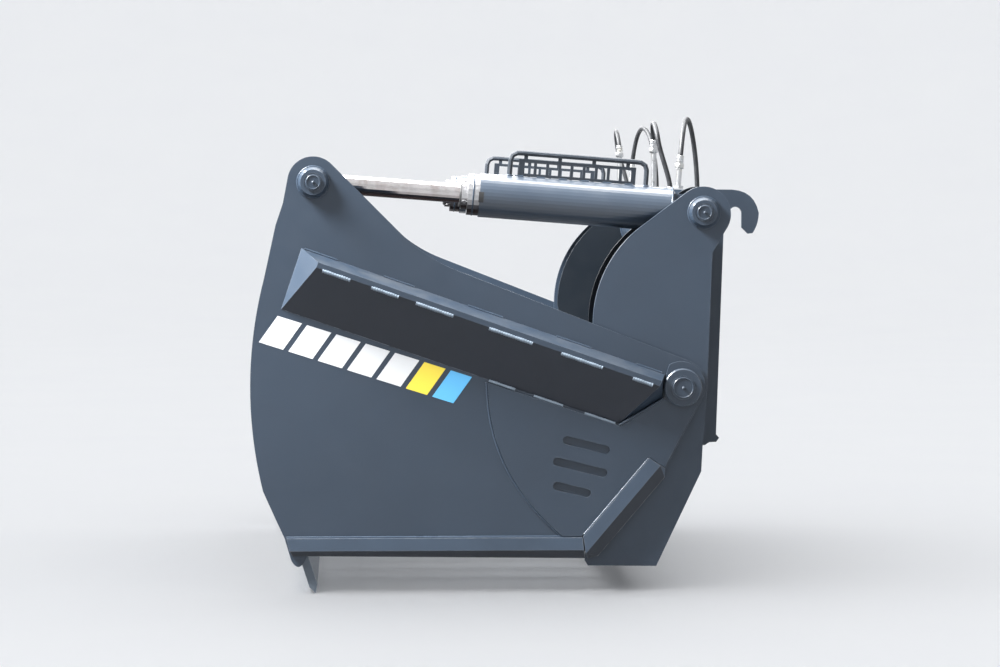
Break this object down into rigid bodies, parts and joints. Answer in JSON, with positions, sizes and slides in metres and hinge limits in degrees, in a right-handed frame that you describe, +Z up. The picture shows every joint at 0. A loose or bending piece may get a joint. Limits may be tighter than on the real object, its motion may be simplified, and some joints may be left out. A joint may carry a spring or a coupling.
{
  "type": "hydraulic silage shear grab",
  "caption": "Loader-mounted silage shear grab: tine frame with rear hooks and a bladed jaw swung up by two hydraulic cylinders, shown closed.",
  "frame": {"origin": "bottom centre of the closed grab's box, under the jaw blade's tip level", "axes": "+Z up, +X rearward to the loader, +Y across the grab to its right-hand side"},
  "size_m": [1.371, 1.9406, 1.2467],
  "materials": {
    "frame_paint": "semi-gloss dark blue-grey enamel",
    "knife_paint": "painted, worn bright at the cutting edge",
    "tine_steel": "forged and painted",
    "zinc": "zinc plated",
    "chrome": "hard chrome",
    "hose_rubber": "matt black hose cover"
  },
  "bodies": {
    "frame": {"back_plate": "frame_paint", "top_cross_tube": "frame_paint", "lower_beam": "frame_paint", "tine_1": "tine_steel", "tine_2": "tine_steel", "tine_3": "tine_steel", "tine_4": "tine_steel", "tine_5": "tine_steel", "tine_6": "tine_steel", "tine_7": "tine_steel", "tine_8": "tine_steel", "frame_side_plate_left": "frame_paint", "frame_inner_plate_left": "frame_paint", "hook_plate_left": "frame_paint", "pivot_pin_left": "frame_paint", "rear_pin_left": "frame_paint", "hose_block_left": "zinc", "rod_hose_left": "hose_rubber", "base_hose_left": "hose_rubber", "frame_side_plate_right": "frame_paint", "frame_inner_plate_right": "frame_paint", "hook_plate_right": "frame_paint", "pivot_pin_right": "frame_paint", "rear_pin_right": "frame_paint", "hose_block_right": "zinc", "rod_hose_right": "hose_rubber", "base_hose_right": "hose_rubber"},
    "jaw": {"front_shell": "frame_paint", "front_blade": "knife_paint", "jaw_cross_tube": "frame_paint", "jaw_side_plate_left": "frame_paint", "pivot_doubler_left": "frame_paint", "stiffener_left": "frame_paint", "bottom_knife_left": "knife_paint", "diagonal_knife_left": "knife_paint", "inner_lug_left": "frame_paint", "rod_pin_left": "frame_paint", "jaw_side_plate_right": "frame_paint", "pivot_doubler_right": "frame_paint", "stiffener_right": "frame_paint", "bottom_knife_right": "knife_paint", "diagonal_knife_right": "knife_paint", "inner_lug_right": "frame_paint", "rod_pin_right": "frame_paint"},
    "barrel_left": {"barrel_left": "frame_paint", "gland_left": "zinc", "hose_guard_left": "frame_paint", "transfer_pipe_left": "zinc", "port_adapter_left": "zinc"},
    "rod_left": {"rod_left": "chrome", "rod_eye_left": "frame_paint", "piston_left": "zinc"},
    "barrel_right": {"barrel_right": "frame_paint", "gland_right": "zinc", "hose_guard_right": "frame_paint", "transfer_pipe_right": "zinc", "port_adapter_right": "zinc"},
    "rod_right": {"rod_right": "chrome", "rod_eye_right": "frame_paint", "piston_right": "zinc"}
  },
  "joints": [
    {"name": "jaw_pivot", "type": "hinge", "parent": "frame", "child": "jaw", "pos_m": [0.4415, 0, 0.537], "axis": [0, 1, 0], "range_deg": [0, 45]},
    {"name": "barrel_swing_left", "type": "hinge", "parent": "frame", "child": "barrel_left", "pos_m": [0.4985, -0.785, 0.993], "axis": [0, 1, 0], "range_deg": [0, 54.83], "deforming": ["rod_hose_left", "base_hose_left"]},
    {"name": "rod_slide_left", "type": "slide", "parent": "barrel_left", "child": "rod_left", "axis": [-0.997, 0, 0.0773], "range_m": [-0.321, 0]},
    {"name": "barrel_swing_right", "type": "hinge", "parent": "frame", "child": "barrel_right", "pos_m": [0.4985, 0.785, 0.993], "axis": [0, 1, 0], "range_deg": [0, 54.83], "deforming": ["rod_hose_right", "base_hose_right"]},
    {"name": "rod_slide_right", "type": "slide", "parent": "barrel_right", "child": "rod_right", "axis": [-0.997, 0, 0.0773], "range_m": [-0.321, 0]}
  ],
  "couplings": [
    {"joint": "barrel_swing_left", "follows": "jaw_pivot", "ratio": 1.2173},
    {"joint": "rod_slide_left", "follows": "jaw_pivot", "m_per_rad": -0.40836},
    {"joint": "barrel_swing_right", "follows": "jaw_pivot", "ratio": 1.2173},
    {"joint": "rod_slide_right", "follows": "jaw_pivot", "m_per_rad": -0.40836}
  ]
}
